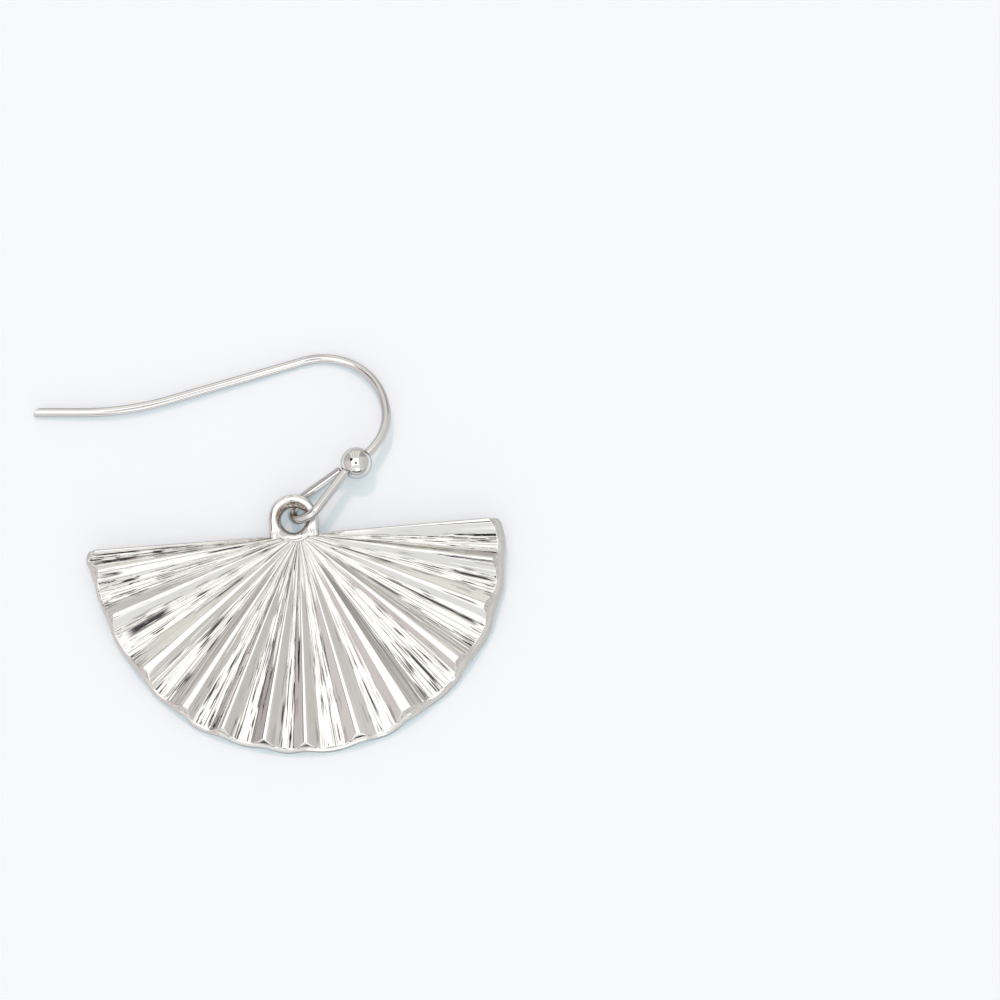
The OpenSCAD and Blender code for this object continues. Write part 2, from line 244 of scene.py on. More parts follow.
def makeToneGroup():
    tree, start, end = newTree(
        "platingTone", "ShaderNodeTree",
        [("Colour", "NodeSocketColor", (0.9, 0.89, 0.88, 1)), ("Spread", "NodeSocketFloat", 0.03),
         ("Patch size mm", "NodeSocketFloat", 3.0)],
        [("Colour", "NodeSocketColor")],
    )
    place = addNode(tree, "ShaderNodeTexCoord").outputs["Object"]
    scale = calc(tree, "DIVIDE", 1 / mm, start.outputs["Patch size mm"])
    noise = addNode(tree, "ShaderNodeTexNoise", None, Vector=place, Scale=scale, Detail=2.0)
    mask = remap(tree, noise.outputs["Fac"], *toneEdges)
    lift = calc(tree, "MULTIPLY_ADD", mask, start.outputs["Spread"], 1.0)
    lift = calc(tree, "SUBTRACT", lift, calc(tree, "MULTIPLY", start.outputs["Spread"], 0.5))
    tinted = addNode(tree, "ShaderNodeVectorMath", {"operation": "SCALE"}, i0=start.outputs["Colour"])
    tree.links.new(lift, tinted.inputs["Scale"])
    tree.links.new(tinted.outputs[0], end.inputs["Colour"])
    return tree


# Fine lines that run along the pleats, from the angle and reach stored on the mesh
def makeGrainGroup():
    tree, start, end = newTree(
        "pleatGrain", "ShaderNodeTree",
        [("Lines per degree", "NodeSocketFloat", 4.0), ("Break per mm", "NodeSocketFloat", 0.5)],
        [("Height", "NodeSocketFloat"), ("Fold", "NodeSocketFloat")],
    )
    spoke = addNode(tree, "ShaderNodeAttribute", {"attribute_name": "spokeDeg"}).outputs["Fac"]
    reach = addNode(tree, "ShaderNodeAttribute", {"attribute_name": "reachMm"}).outputs["Fac"]
    fold = addNode(tree, "ShaderNodeAttribute", {"attribute_name": "foldMask"}).outputs["Fac"]
    across = calc(tree, "MULTIPLY", spoke, start.outputs["Lines per degree"])
    along = calc(tree, "MULTIPLY", reach, start.outputs["Break per mm"])
    place = addNode(tree, "ShaderNodeCombineXYZ", None, X=across, Y=along, Z=grainSeed).outputs[0]
    noise = addNode(tree, "ShaderNodeTexNoise", None, Vector=place, Scale=1.0, Detail=3.0, Roughness=0.6)
    height = calc(tree, "MULTIPLY", noise.outputs["Fac"], fold)
    tree.links.new(height, end.inputs["Height"])
    tree.links.new(fold, end.inputs["Fold"])
    return tree


toneGroup = makeToneGroup()
grainGroup = makeGrainGroup()

silver = {
    "cast": {
        "colour": (0.89, 0.87, 0.85, 1), "foldColour": (0.83, 0.81, 0.775, 1),
        "nickShadeColour": (0.05, 0.048, 0.052, 1), "edgeTint": (0.4, 0.38, 0.38, 1),
        "roughness": 0.045, "grainRoughness": 0.07, "grain": 0.000006,
        "insideShadeColour": (0.5, 0.42, 0.36, 1), "insideReach": (1.4, 1.6), "insideBump": 0.00002,
        "pitsPerMetre": 5000.0, "pitEdges": (0.4, 0.6), "leastShade": 0.5,
    },
    "wire": {"colour": (0.88, 0.865, 0.855, 1), "edgeTint": (0.3, 0.28, 0.28, 1), "roughness": 0.05,
             "edgeShadeColour": (0.66, 0.65, 0.66, 1), "edgeSlant": (0.32, 0.62)},
    "bead": {"colour": (0.87, 0.86, 0.85, 1), "edgeTint": (0.45, 0.45, 0.45, 1), "roughness": 0.03},
}


def makeSilver(name, look, pleated=False, holed=False):
    mat = bpy.data.materials.new(name)
    mat.use_nodes = True
    tree = mat.node_tree
    shader = tree.nodes["Principled BSDF"]
    shader.inputs["Metallic"].default_value = 1.0
    shader.inputs["Roughness"].default_value = look["roughness"]
    shader.inputs["Specular Tint"].default_value = look["edgeTint"]
    tone = tree.nodes.new("ShaderNodeGroup")
    tone.node_tree = toneGroup
    tone.inputs["Colour"].default_value = look["colour"]
    tree.links.new(tone.outputs["Colour"], shader.inputs["Base Color"])
    if "edgeShadeColour" in look:  # painted shade: the wire is coloured darker where it curves away from the view
        slant = addNode(tree, "ShaderNodeLayerWeight", None, Blend=0.5).outputs["Facing"]
        edge = remap(tree, slant, *look["edgeSlant"])
        edged = addNode(tree, "ShaderNodeMix", {"data_type": "RGBA"}, Factor=edge)
        tree.links.new(tone.outputs["Colour"], edged.inputs[6])
        edged.inputs[7].default_value = look["edgeShadeColour"]
        tree.links.new(edged.outputs[2], shader.inputs["Base Color"])
    if pleated:
        grain = tree.nodes.new("ShaderNodeGroup")
        grain.node_tree = grainGroup
        fold = grain.outputs["Fold"]
        rough = remap(tree, fold, 0.0, 1.0, look["roughness"], look["grainRoughness"], "LINEAR")
        tree.links.new(rough, shader.inputs["Roughness"])
        # painted shade: the nicks and creases are coloured near-black
        nick = addNode(tree, "ShaderNodeAttribute", {"attribute_name": "nickShadeMask"}).outputs["Fac"]
        warm = addNode(tree, "ShaderNodeMix", {"data_type": "RGBA"}, Factor=fold)
        tree.links.new(tone.outputs["Colour"], warm.inputs[6])
        warm.inputs[7].default_value = look["foldColour"]
        dark = addNode(tree, "ShaderNodeMix", {"data_type": "RGBA"}, Factor=nick)
        tree.links.new(warm.outputs[2], dark.inputs[6])
        dark.inputs[7].default_value = look["nickShadeColour"]
        tree.links.new(dark.outputs[2], shader.inputs["Base Color"])
        height = grain.outputs["Height"]
        bump = addNode(tree, "ShaderNodeBump", None, Strength=1.0, Distance=look["grain"], Height=height)
        tree.links.new(bump.outputs[0], shader.inputs["Normal"])
    if holed:  # painted shade: the eye's funnel is coloured browner than its crown, in patches, and pitted by a bump
        place = addNode(tree, "ShaderNodeTexCoord").outputs["Object"]
        middle = layFan(lie["eyeSide"], lie["eyeRise"], 0)
        kind = "ShaderNodeVectorMath"
        flat = addNode(tree, kind, {"operation": "MULTIPLY"}, i0=place, i1=(1, 1, 0)).outputs[0]
        away = addNode(tree, kind, {"operation": "DISTANCE"}, i0=flat, i1=(middle[0], middle[1], 0))
        near, far = look["insideReach"]
        inside = remap(tree, away.outputs["Value"], near * mm, far * mm, 1.0, 0.0)
        finer = look["pitsPerMetre"]
        spots = addNode(tree, "ShaderNodeTexNoise", None, Vector=place, Scale=finer, Detail=1.0).outputs[0]
        patchyShade = remap(tree, spots, *look["pitEdges"], look["leastShade"], 1.0)
        brown = calc(tree, "MULTIPLY", inside, patchyShade)
        shadedFunnel = addNode(tree, "ShaderNodeMix", {"data_type": "RGBA"}, Factor=brown)
        tree.links.new(tone.outputs["Colour"], shadedFunnel.inputs[6])
        shadedFunnel.inputs[7].default_value = look["insideShadeColour"]
        tree.links.new(shadedFunnel.outputs[2], shader.inputs["Base Color"])
        pits = calc(tree, "MULTIPLY", spots, inside)
        bump = addNode(tree, "ShaderNodeBump", None, Strength=1.0, Distance=look["insideBump"], Height=pits)
        tree.links.new(bump.outputs[0], shader.inputs["Normal"])
    return mat


castSilver = makeSilver("castSilver", silver["cast"], pleated=True)
eyeSilver = makeSilver("eyeSilver", silver["cast"], holed=True)
wireSilver = makeSilver("wireSilver", silver["wire"])
beadSilver = makeSilver("beadSilver", silver["bead"])
print("materials made")

# The pleated fan. One row for each pleat, clockwise from the right-hand end of the straight edge
fan = {
    "radius": 19.7, "thick": 0.9, "relief": 0.65, "hubShare": 0.25, "backShare": 0.8, "ridgeCut": 0.35,
    "scallop": 0.18, "border": 0.3, "rimRound": 0.16, "edgeRound": 0.12, "bandShare": 0.45,
    "bandFall": 0.38, "innerReach": 0.6, "ridgeSoft": 0.3, "footSoft": 1.0, "foldDraw": 0.35,
    "edgeHeight": 1.0, "sideLines": 0.4, "plainEnds": (6, 174), "ridgeLines": 0.4, "wideRidge": 1.7,
    "calmFolds": 0.35, "calmAt": 82, "calmWidth": 25, "calmHub": 3.0, "backRound": 0.15,
    "broadSoft": 1.6, "rimSoft": 1.0, "lineFade": 0.12, "lineStart": 2.5, "creaseFade": 0.8,
    "footHeight": 0.15, "footBlend": 0.4, "sidesFrom": 45, "sidesBlend": 35, "hubCalm": 0.3,
    "bandBlend": 0.06, "bevelLead": 0.05, "bevelPast": 0.04,
}
# How close the mesh's columns, in degrees, and rows lie
fanMesh = {
    "foldStep": 0.135, "flatStep": 0.2, "flankStep": 0.3,
    "pleatRows": 58, "bevelRows": 9, "roundRows": 6, "backRoundRows": 4, "backRows": 8,
    "outward": 0.9, "rollSteps": ((0.29, 0.29), (0.0, 1.0)), "sharpFrom": 50,
}
foldLines = {
    "Line depth": 0.04, "Nick depth": 0.04, "Lines per degree": 1.0, "Line length mm": 9.0,
    "Nicks per degree": 2.6, "Nick length mm": 2.8, "Nick share": 0.37, "Seed": 4.0,
}
# The lines' noise layers: how much finer across, seed, and the values between which each turns from 0 to 1
noiseColumns = ("finer", "seed", "low", "high")
noiseRows = {
    "wide": (1.0, 0.0, 0.45, 0.55),
    "thin": (2.3, 5.2, 0.44, 0.56),
    "nick": (1.0, 9.1, 0.0, 0.05),
    "patch": (0.12, 14.7, 0.35, 0.6),
    "broken": (1.4, 21.3, 0.32, 0.44),
}
lineMix = {"thin": 0.3, "middle": 0.65, "fewerNicks": 0.08}
# The creases, cut in and painted near-black as shade: angle and half width in degrees, then from and to in
# mm from the meeting point
creaseColumns = ("at", "half", "near", "far")
creaseRows = [
    (6.8, 0.25, 15.5, 18.2),
    (11.0, 0.5, 2.6, 7.0),
    (13.6, 0.25, 12.4, 17.8),
    (18.5, 0.45, 14.0, 18.1),
    (22.0, 0.6, 3.4, 9.0),
    (27.0, 0.2, 13.5, 17.6),
    (31.8, 0.4, 8.5, 18.0),
    (37.0, 0.6, 5.0, 11.0),
    (52.3, 0.35, 13.5, 18.6),
    (71.0, 0.35, 14.0, 18.0),
    (99.0, 0.3, 15.0, 18.4),
    (122.5, 0.35, 15.0, 17.8),
    (131.5, 0.8, 15.5, 18.3),
    (135.8, 0.7, 9.6, 12.8),
    (146.0, 0.6, 6.0, 9.6),
    (153.7, 1.1, 13.0, 17.7),
    (172.2, 0.5, 15.8, 18.2),
    (172.4, 0.5, 4.6, 8.6),
    (176.6, 0.4, 14.0, 18.2),
]
pleatColumns = ("fold", "rise", "ridge", "fall", "reach", "border")
pleatRows = [
    (4.3, 1.9, 1.4, 4.2, 0.936, 2.3),
    (4.4, 3.5, 1.5, 3.6, 0.955, 2.3),
    (7.0, 5.2, 1.8, 2.8, 0.972, 2.0),
    (9.6, 5.0, 2.6, 3.8, 0.985, 1.5),
    (4.6, 4.2, 1.2, 3.2, 1.000, 1.2),
    (6.4, 3.5, 1.1, 2.6, 1.000, 1.0),
    (3.5, 3.9, 1.1, 2.5, 0.997, 1.0),
    (5.0, 3.1, 1.0, 2.0, 0.991, 1.0),
    (6.2, 1.9, 1.8, 4.8, 0.989, 1.0),
    (4.0, 4.8, 2.0, 4.6, 0.972, 1.0),
    (8.0, 3.7, 1.3, 3.2, 0.956, 1.0),
    (6.7, 2.5, 1.4, 2.2, 0.950, 1.0),
]
firstEdge = {"strip": 1.2, "fall": 4.8, "cornerReach": 0.900, "reach": 0.917, "borders": (1.7, 2.0)}
lastEdge = {
    "fold": 1.4, "strip": 1.0, "reach": 0.972, "cornerReach": 0.950, "border": 1.0, "lined": 0.3,
}


# The corners of the pleats' section: angle, height, reach, draw-in at the rim, border and how lined it is
def listSpokes():
    draw, edgeHeight = fan["foldDraw"], fan["edgeHeight"]
    spokes = [
        (0, edgeHeight, firstEdge["cornerReach"], 0, firstEdge["borders"][0], 0),
        (firstEdge["strip"], edgeHeight, firstEdge["reach"], 0, firstEdge["borders"][1], 0),
    ]
    angle = firstEdge["strip"] + firstEdge["fall"]
    rows = [dict(zip(pleatColumns, row)) for row in pleatRows]
    for row, after in zip(rows, rows[1:] + [lastEdge]):
        ridgeReach = (row["reach"] + after["reach"]) / 2
        b = angle + row["fold"]
        c = b + row["rise"]
        d = c + row["ridge"]
        ridgeLines = fan["ridgeLines"] * (row["ridge"] > fan["wideRidge"])
        spokes += [
            (angle, 0, row["reach"], draw, row["border"], 1),
            ((angle + b) / 2, 0, row["reach"], 0, row["border"], 1),
            (b, 0, row["reach"], draw, row["border"], 1),
            (c, 1, ridgeReach, 1, row["border"], ridgeLines),
            (d, 1, ridgeReach, 1, row["border"], ridgeLines),
        ]
        angle = d + row["fall"]
    e = lastEdge
    spokes += [
        (angle, 0, e["reach"], draw, e["border"], 1),
        (angle + e["fold"], 0, e["reach"], draw, e["border"], 1),
        (180 - e["strip"], edgeHeight, (e["reach"] + e["cornerReach"]) / 2, 0, e["border"], e["lined"]),
        (180, edgeHeight, e["cornerReach"], 0, e["border"], e["lined"]),
    ]
    return np.array(spokes, float)


# Angles for the mesh's columns: close in the folds and over the ridges, wider on the smooth sides
def spreadColumns(spokes):
    angles = []
    for a, b in zip(spokes[:-1], spokes[1:]):
        kind = "foldStep" if a[5] and b[5] else "flatStep" if a[1] == b[1] else "flankStep"
        count = max(2, round((b[0] - a[0]) / fanMesh[kind]))
        angles += list(np.linspace(a[0], b[0], count, endpoint=False))
    return np.array(angles + [180.0])


# Values between the corners, with the corners rounded over a width in degrees
def softly(angles, corners, values, width):
    return sum(np.interp(angles + width * k, corners, values) for k in (-1, -0.5, 0, 0.5, 1)) / 5


# 1 or more within half a width of the middle, and 0 from one and a half widths on
def nearTo(value, middle, width):
    return 1.5 - abs(value - middle) / width


# The section's points out over the front, round the rim and back underneath: reach and height
def stackRows(front, back, rim, band):
    f = fan
    pleatEnd = band - f["ridgeCut"] - f["bevelLead"]
    bevelEnd = band + f["bevelPast"]
    rows = []
    for t in np.linspace(0, 1, fanMesh["pleatRows"]) ** fanMesh["outward"]:
        r = f["innerReach"] + (pleatEnd - f["innerReach"]) * t
        rows.append((r, front(r)))
    for t in np.linspace(0, 1, fanMesh["bevelRows"])[1:]:
        r = pleatEnd + (bevelEnd - pleatEnd) * t
        rows.append((r, front(r)))
    rounding = f["rimRound"]
    for t in (0.5, 1.0):
        r = bevelEnd + (rim - rounding - band - f["bevelPast"]) * t
        rows.append((r, front(r)))
    topZ, lowZ = front(rim), back(rim)
    for a in np.linspace(0, 90, fanMesh["roundRows"])[1:]:
        s, c = math.sin(math.radians(a)), math.cos(math.radians(a))
        rows.append((rim - rounding * (1 - s), topZ - rounding * (1 - c)))
    topCount = len(rows)
    rounding = f["backRound"]
    for a in np.linspace(90, 0, fanMesh["backRoundRows"]):
        s, c = math.sin(math.radians(a)), math.cos(math.radians(a))
        rows.append((rim - rounding * (1 - s), lowZ + rounding * (1 - c)))
    for t in np.linspace(1, 0, fanMesh["backRows"])[1:]:
        r = f["innerReach"] + (rim - rounding - f["innerReach"]) * t
        rows.append((r, back(r)))
    return rows, topCount


# Quads between the columns, then single faces that close the hub's front and back and the two ends
def gridFaces(columns, count):
    faces = []
    for c in range(columns - 1):
        a, b = c * count, (c + 1) * count
        for k in range(count - 1):
            faces.append((a + k, a + k + 1, b + k + 1, b + k))
    last = (columns - 1) * count
    faces.append(tuple(c * count for c in range(columns)))
    faces.append(tuple(c * count + count - 1 for c in range(columns - 1, -1, -1)))
    faces.append(tuple(range(count - 1, -1, -1)))
    faces.append(tuple(last + k for k in range(count)))
    faces.append((0, last, last + count - 1, count - 1))
    return faces


def makeFanSheet():
    f = fan
    spokes = listSpokes()
    phi = spreadColumns(spokes)
    corners = spokes[:, 0]
    sharp = softly(phi, corners, spokes[:, 1], f["ridgeSoft"])
    atRidge = np.clip((sharp - f["footHeight"]) / f["footBlend"], 0, 1)
    height = sharp * atRidge + softly(phi, corners, spokes[:, 1], f["footSoft"]) * (1 - atRidge)
    broad = softly(phi, corners, spokes[:, 1], f["broadSoft"])
    rim = f["radius"] * softly(phi, corners, spokes[:, 2], f["rimSoft"])
    rim = rim - f["scallop"] * softly(phi, corners, spokes[:, 3], f["rimSoft"])
    band = rim - f["border"] * np.interp(phi, corners, spokes[:, 4])
    lined = np.interp(phi, corners, spokes[:, 5]) ** 2
    atSides = np.clip((np.abs(phi - 90) - f["sidesFrom"]) / f["sidesBlend"], 0, 1)
    calm = np.clip(nearTo(phi, f["calmAt"], f["calmWidth"]), 0, 1)  # plainer folds near the middle
    fromDeg, toDeg = f["plainEnds"]
    onSides = f["sideLines"] * atSides * (phi > fromDeg) * (phi < toDeg)
    lined = np.maximum(lined * (1 - f["calmFolds"] * calm), onSides)

    def relief(r):
        calm = np.minimum(1, f["hubCalm"] + (1 - f["hubCalm"]) * r / f["calmHub"])
        return f["relief"] * (f["hubShare"] + (1 - f["hubShare"]) * r / f["radius"]) * calm

    def front(r):
        full = relief(r)
        bevel = full * (f["bandShare"] + (1 - f["bandShare"]) * (band - r) / f["ridgeCut"])
        pleat = np.minimum(height * full, bevel)
        flat = f["bandShare"] * broad * full - f["bandFall"] * (r - band)
        share = np.clip((r - band) / f["bandBlend"] + 0.5, 0, 1)
        return f["thick"] + pleat * (1 - share) + flat * share

    def back(r):
        return f["backShare"] * broad * relief(r)

    rows, topCount = stackRows(front, back, rim, band)
    count = len(rows)
    radii = np.array([row[0] for row in rows]).T
    heights = np.array([row[1] for row in rows]).T
    x = radii * np.cos(np.radians(phi))[:, None]
    y = -np.sqrt((radii * np.sin(np.radians(phi))[:, None]) ** 2 + f["edgeRound"] ** 2)
    # two more columns at each end roll the straight edge over
    way = np.where(np.arange(count) < topCount, -1.0, 1.0)
    grids = {"x": x, "y": y, "z": heights}
    for share, drop in fanMesh["rollSteps"]:
        for end in (0, -1):
            at = grids["x"][end].copy()
            inset = f["edgeRound"] * drop
            at *= (np.abs(at) - inset * np.abs(at) / np.abs(at).max()) / np.abs(at)
            line = np.full(count, -f["edgeRound"] * share)
            z = heights[end] + way * inset
            for key, value in (("x", at), ("y", line), ("z", z)):
                grids[key] = np.vstack([value, grids[key]] if end == 0 else [grids[key], value])
    columns = len(grids["x"])
    spokeDeg = np.concatenate([[0, 0], phi, [180, 180]])
    foldMask = np.concatenate([[0, 0], lined, [0, 0]])
    creases = [dict(zip(creaseColumns, row)) for row in creaseRows]
    verts, masks, degs, reaches, dark = [], [], [], [], []
    bandAll = np.concatenate([[band[0]] * 2, band, [band[-1]] * 2])
    for c in range(columns):
        for k in range(count):
            px, py, pz = grids["x"][c, k], grids["y"][c, k], grids["z"][c, k]
            r = math.hypot(px, py)
            verts.append(layFan(px, py, pz))
            onFront = k < topCount - fanMesh["roundRows"] + 1
            fade = min(1.0, max(0.0, (bandAll[c] - r) / f["lineFade"])) * min(1.0, r / f["lineStart"])
            masks.append(foldMask[c] * fade if onFront else 0.0)
            degs.append(spokeDeg[c])
            reaches.append(r)
            # how far into a crease each point lies: creases are cut in and painted near-black as shade
            deep = 0.0
            for row in creases:
                beside = nearTo(spokeDeg[c], row["at"], row["half"])
                ends = min(r - row["near"], row["far"] - r) / f["creaseFade"]
                deep = max(deep, min(1.0, beside, ends))
            dark.append(deep if onFront else 0.0)
    obj = makeObject("fanSheet", verts, gridFaces(columns, count))
    stored = {"foldMask": masks, "spokeDeg": degs, "reachMm": reaches, "creaseShadeMask": dark}
    for name, values in stored.items():
        attribute = obj.data.attributes.new(name, "FLOAT", "POINT")
        attribute.data.foreach_set("value", np.array(values, "f"))
    return obj


# Draws the long lines and the short deep nicks that run along each fold, and marks the nicks and creases,
# which the material paints near-black as shade
def makeLineTree():
    tree, start, end = newTree(
        "foldLines", "GeometryNodeTree",
        [("Geometry", "NodeSocketGeometry", None), ("Line depth", "NodeSocketFloat", 0.05),
         ("Nick depth", "NodeSocketFloat", 0.05), ("Lines per degree", "NodeSocketFloat", 1.3),
         ("Line length mm", "NodeSocketFloat", 6.0), ("Nicks per degree", "NodeSocketFloat", 2.0),
         ("Nick length mm", "NodeSocketFloat", 1.0), ("Nick share", "NodeSocketFloat", 0.4),
         ("Seed", "NodeSocketFloat", 0.0), ("Material", "NodeSocketMaterial", None)],
        [("Geometry", "NodeSocketGeometry")],
    )
    tree.is_modifier = True

    def named(title):
        node = addNode(tree, "GeometryNodeInputNamedAttribute", {"data_type": "FLOAT"}, Name=title)
        return node.outputs[0]

    spoke, reach, fold = named("spokeDeg"), named("reachMm"), named("foldMask")

    layers = {name: dict(zip(noiseColumns, row)) for name, row in noiseRows.items()}

    def streaks(layer, kind):
        finer, seed = layers[layer]["finer"], layers[layer]["seed"]
        across = calc(tree, "MULTIPLY", spoke, start.outputs[kind + "s per degree"])
        across = calc(tree, "MULTIPLY", across, finer)
        along = calc(tree, "DIVIDE", reach, start.outputs[kind + " length mm"])
        deep = calc(tree, "ADD", start.outputs["Seed"], seed)
        place = addNode(tree, "ShaderNodeCombineXYZ", None, X=across, Y=along, Z=deep).outputs[0]
        return addNode(tree, "ShaderNodeTexNoise", None, Vector=place, Scale=1.0, Detail=0.0).outputs[0]

    def step(layer, value):
        return remap(tree, value, layers[layer]["low"], layers[layer]["high"])

    wide = step("wide", streaks("wide", "Line"))
    thin = step("thin", streaks("thin", "Line"))
    lines = calc(tree, "MULTIPLY_ADD", thin, lineMix["thin"], wide)
    lines = calc(tree, "SUBTRACT", lines, lineMix["middle"])
    share = calc(tree, "SUBTRACT", 1.0, start.outputs["Nick share"])
    nickNoise = streaks("nick", "Nick")
    patches = step("patch", streaks("patch", "Nick"))
    fewer = calc(tree, "MULTIPLY", calc(tree, "SUBTRACT", 1.0, patches), lineMix["fewerNicks"])
    level = calc(tree, "SUBTRACT", nickNoise, fewer)
    nick = step("nick", calc(tree, "SUBTRACT", level, share))
    broken = step("broken", streaks("broken", "Nick"))
    crease = calc(tree, "MULTIPLY", named("creaseShadeMask"), broken)
    nick = calc(tree, "MAXIMUM", calc(tree, "MULTIPLY", nick, fold), crease)
    grown = calc(tree, "DIVIDE", reach, fan["radius"])
    height = calc(tree, "MULTIPLY", calc(tree, "MULTIPLY", lines, fold), start.outputs["Line depth"])
    height = calc(tree, "SUBTRACT", height, calc(tree, "MULTIPLY", nick, start.outputs["Nick depth"]))
    offset = calc(tree, "MULTIPLY", calc(tree, "MULTIPLY", height, grown), mm)
    move = addNode(tree, "ShaderNodeCombineXYZ", None, Z=offset).outputs[0]
    marked = addNode(tree, "GeometryNodeStoreNamedAttribute", {"data_type": "FLOAT", "domain": "POINT"},
                     Geometry=start.outputs["Geometry"], Name="nickShadeMask", Value=nick)
    moved = addNode(tree, "GeometryNodeSetPosition", None, Geometry=marked.outputs[0], Offset=move)
    real = addNode(tree, "GeometryNodeRealizeInstances", None, Geometry=moved.outputs[0])
    paint = start.outputs["Material"]
    painted = addNode(tree, "GeometryNodeSetMaterial", None, Geometry=real.outputs[0], Material=paint)
    tree.links.new(painted.outputs[0], end.inputs[0])
    return tree


fanSheet = makeFanSheet()
bakeNodes(fanSheet, makeLineTree(), {**foldLines, "Material": castSilver})
smoothFaces(fanSheet.data, fanMesh["sharpFrom"])
print("fan sheet made,", len(fanSheet.data.polygons), "faces")

# The cast eye: a ring on two legs, lower where it runs down into the pleats
eye = {
    "corner": 0.36, "voxel": 0.04, "smooth": 16,
    "sinkFrom": 0.35, "sinkTo": -0.4, "sink": 0.4, "legEnd": -0.3, "webIn": 0.4, "webDown": 1.3,
    "innerCorner": 0.7, "legCorner": 0.9, "boreRound": 0.1, "backRound": 0.2, "funnelShare": 0.9,
    "around": 96, "legRows": 16, "webRows": 8,
}


# A closed outline from corners: x, y, rounding radius
def roundCorners(corners):
    points = []
    count = len(corners)
    for i, (x, y, radius) in enumerate(corners):
        here = Vector((x, y))
        before = (Vector(corners[i - 1][:2]) - here).normalized()
        after = (Vector(corners[(i + 1) % count][:2]) - here).normalized()
        half = before.angle(after) / 2
        middle = here + (before + after).normalized() * radius / math.sin(half)
        first = here + before * radius / math.tan(half) - middle
        turn = (math.pi - 2 * half) * (1 if before.cross(after) < 0 else -1)
        for t in np.linspace(0, turn, 6):
            points.append(tuple(middle + Matrix.Rotation(t, 2) @ first))
    return points


# A tube whose rounded section, lower where the path is low, follows path: x, y, outward x, outward y
def sweepSection(path, closed, funnel):
    half, low, r = lie["eyeWall"] / 2, lie["eyeBase"], eye["corner"]
    bore, under = eye["boreRound"], eye["backRound"]
    inner = -half - (lie["eyeHoleR"] - lie["eyeBackR"])
    rings = []
    for x, y, ox, oy in path:
        share = min(1.0, max(0.0, (eye["sinkFrom"] - y) / (eye["sinkFrom"] - eye["sinkTo"])))
        top = low + lie["eyeT"] - eye["sink"] * share * share * (3 - 2 * share)
        if funnel:
            neck = top - lie["eyeFunnel"] * eye["funnelShare"]
            corners = [(half, top, r), (-half, top, r * eye["innerCorner"]), (inner, neck, bore),
                       (inner, low, bore), (half, low, under)]
        else:
            leg = r * eye["legCorner"]
            corners = [(half, top, leg), (-half, top, leg), (-half, low, under), (half, low, under)]
        rings.append([(x + ox * out, y + oy * out, up) for out, up in roundCorners(corners)])
    m, n = len(rings[0]), len(rings)
    verts = [point for ring in rings for point in ring]
    faces = []
    for i in range(n if closed else n - 1):
        for j in range(m):
            a, b = i * m + j, i * m + (j + 1) % m
            c, d = ((i + 1) % n) * m + (j + 1) % m, ((i + 1) % n) * m + j
            faces.append((a, b, c, d))
    if not closed:
        faces.append(tuple(range(m)))
        faces.append(tuple((n - 1) * m + j for j in range(m - 1, -1, -1)))
    return verts, faces


def makeEye():
    midR = lie["eyeHoleR"] + lie["eyeWall"] / 2
    cx, cy = lie["eyeSide"], lie["eyeRise"]
    ring = [
        (cx + midR * math.cos(a), cy + midR * math.sin(a), math.cos(a), math.sin(a))
        for a in np.linspace(0, 2 * math.pi, eye["around"], endpoint=False)
    ]
    pieces = [sweepSection(ring, closed=True, funnel=True)]
    for side in (-1, 1):
        legX, webX = cx + side * midR, cx + side * (midR - eye["webIn"])
        leg = [(legX, y, side, 0) for y in np.linspace(cy, eye["legEnd"], eye["legRows"])]
        web = [(webX, y, side, 0) for y in np.linspace(cy - eye["webDown"], eye["legEnd"], eye["webRows"])]
        pieces += [sweepSection(path, closed=False, funnel=False) for path in (leg, web)]
    verts, faces = [], []
    for v, f in pieces:
        faces += [tuple(i + len(verts) for i in face) for face in f]
        verts += v
    obj = makeObject("fanEye", verts, faces)
    bm = bmesh.new()
    bm.from_mesh(obj.data)
    bmesh.ops.recalc_face_normals(bm, faces=bm.faces)
    bm.to_mesh(obj.data)
    bm.free()
    remesh = obj.modifiers.new("Fuse", "REMESH")
    remesh.mode, remesh.voxel_size = "VOXEL", eye["voxel"]
    soften = obj.modifiers.new("Soften", "SMOOTH")
    soften.factor, soften.iterations = 0.5, eye["smooth"]
    graph = bpy.context.evaluated_depsgraph_get()
    done = bpy.data.meshes.new_from_object(obj.evaluated_get(graph), depsgraph=graph)
    obj.modifiers.clear()
    obj.data = done
    for v in done.vertices:
        v.co = layFan(*v.co)
    smoothFaces(done)
    done.materials.append(eyeSilver)
    return obj


fanEye = makeEye()
print("eye made,", len(fanEye.data.polygons), "faces")

# The hook and its loop: one wire, swept along its path
wire = {"sides": 28, "tipRound": 0.05, "weld": 1e-7, "sharpFrom": 40}


def makeWireTree():
    tree, start, end = newTree(
        "bentWire", "GeometryNodeTree",
        [("Geometry", "NodeSocketGeometry", None), ("Radius", "NodeSocketFloat", 0.0004),
         ("Sides", "NodeSocketInt", 24), ("Material", "NodeSocketMaterial", None)],
        [("Geometry", "NodeSocketGeometry")],
    )
    tree.is_modifier = True
    curve = addNode(tree, "GeometryNodeMeshToCurve", None, Mesh=start.outputs["Geometry"])
    sides, radius = start.outputs["Sides"], start.outputs["Radius"]
    ring = addNode(tree, "GeometryNodeCurvePrimitiveCircle", None, Resolution=sides, Radius=radius)
    tube = addNode(tree, "GeometryNodeCurveToMesh", None, Curve=curve.outputs[0], i1=ring.outputs[0])
    for socket in tube.inputs:
        if socket.name == "Fill Caps":
            socket.default_value = True
    real = addNode(tree, "GeometryNodeRealizeInstances", None, Geometry=tube.outputs[0])
    paint = start.outputs["Material"]
    painted = addNode(tree, "GeometryNodeSetMaterial", None, Geometry=real.outputs[0], Material=paint)
    tree.links.new(painted.outputs[0], end.inputs[0])
    return tree


